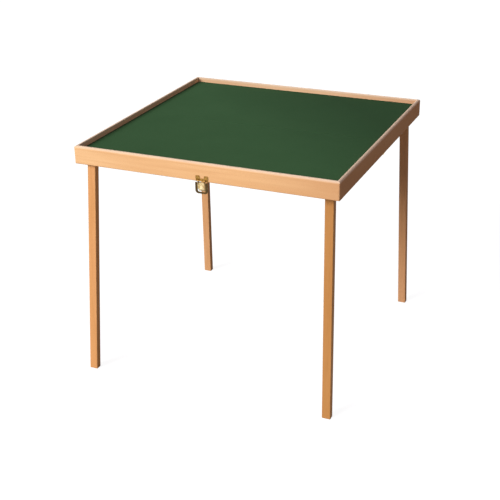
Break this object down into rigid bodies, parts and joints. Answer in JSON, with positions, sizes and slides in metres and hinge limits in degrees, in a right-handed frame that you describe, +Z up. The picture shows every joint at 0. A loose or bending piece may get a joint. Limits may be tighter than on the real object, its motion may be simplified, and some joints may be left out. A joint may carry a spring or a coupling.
{
  "type": "folding mahjong table",
  "caption": "Square wooden game table with a recessed green felt top between raised rails; it folds in half on butt hinges, stores its folding legs and shuts with a draw latch.",
  "frame": {"origin": "on the floor, under the centre of the open table's top", "axes": "+X along the front rail to the right, +Y from the front rail with the latch to the rear rail, +Z up"},
  "size_m": [0.81, 0.8135, 0.734],
  "materials": {
    "beech": "clear lacquered beech, satin",
    "plywood": "bare birch plywood",
    "block_wood": "bare beech, planed",
    "felt": "green wool felt, matt",
    "bracket_steel": "zinc plated pressed steel",
    "bolt_steel": "zinc plated",
    "brass": "polished, lacquered"
  },
  "bodies": {
    "front_half": {"front_rail": "beech", "front_left_rail": "beech", "front_right_rail": "beech", "front_center_rail": "beech", "front_panel": "plywood", "front_felt": "felt", "leg_block_front_left": "block_wood", "leg_block_front_right": "block_wood", "leg_bracket_front_left": "bracket_steel", "leg_bracket_front_right": "bracket_steel", "leg_bolts_front": "bolt_steel", "leg_nuts_front": "bolt_steel", "bracket_screws_front": "bolt_steel", "hinge_leaf_front_left": "brass", "hinge_leaf_front_right": "brass", "hinge_screws_front": "brass", "hinge_pins": "brass", "latch_plate": "brass", "latch_pin": "brass", "latch_screws": "brass"},
    "rear_half": {"rear_rail": "beech", "rear_left_rail": "beech", "rear_right_rail": "beech", "rear_center_rail": "beech", "rear_panel": "plywood", "rear_felt": "felt", "leg_block_rear_left": "block_wood", "leg_block_rear_right": "block_wood", "leg_bracket_rear_left": "bracket_steel", "leg_bracket_rear_right": "bracket_steel", "leg_bolts_rear": "bolt_steel", "leg_nuts_rear": "bolt_steel", "bracket_screws_rear": "bolt_steel", "hinge_leaf_rear_left": "brass", "hinge_leaf_rear_right": "brass", "hinge_screws_rear": "brass", "catch_plate": "brass", "catch_screws": "brass"},
    "leg_front_left": {"leg_front_left": "beech"},
    "leg_front_right": {"leg_front_right": "beech"},
    "leg_rear_right": {"leg_rear_right": "beech"},
    "leg_rear_left": {"leg_rear_left": "beech"},
    "latch_lever": {"latch_lever": "brass"},
    "latch_loop": {"latch_loop": "brass"}
  },
  "joints": [
    {"name": "table_fold", "type": "hinge", "parent": "front_half", "child": "rear_half", "pos_m": [0, 0, 0.6797], "axis": [-1, 0, 0], "range_deg": [0, 55]},
    {"name": "leg_fold_front_left", "type": "hinge", "parent": "front_half", "child": "leg_front_left", "pos_m": [-0.357, -0.37025, 0.69421], "axis": [0, -0.9994, 0.0349], "range_deg": [0, 93.3]},
    {"name": "leg_fold_front_right", "type": "hinge", "parent": "front_half", "child": "leg_front_right", "pos_m": [0.357, -0.34725, 0.69422], "axis": [0, 0.9986, -0.0523], "range_deg": [0, 91.25]},
    {"name": "leg_fold_rear_right", "type": "hinge", "parent": "rear_half", "child": "leg_rear_right", "pos_m": [0.357, 0.37025, 0.69421], "axis": [0, 0.9994, 0.0349], "range_deg": [0, 91.7]},
    {"name": "leg_fold_rear_left", "type": "hinge", "parent": "rear_half", "child": "leg_rear_left", "pos_m": [-0.357, 0.34725, 0.69421], "axis": [0, -0.9994, -0.0349], "range_deg": [0, 90.75]},
    {"name": "latch_lever_swing", "type": "hinge", "parent": "front_half", "child": "latch_lever", "pos_m": [0.0048, -0.404, 0.6845], "axis": [-1, 0, 0], "range_deg": [0, 180]},
    {"name": "latch_loop_swing", "type": "hinge", "parent": "latch_lever", "child": "latch_loop", "pos_m": [0.0048, -0.404, 0.6775], "axis": [1, 0, 0], "range_deg": [-180, 90]}
  ]
}
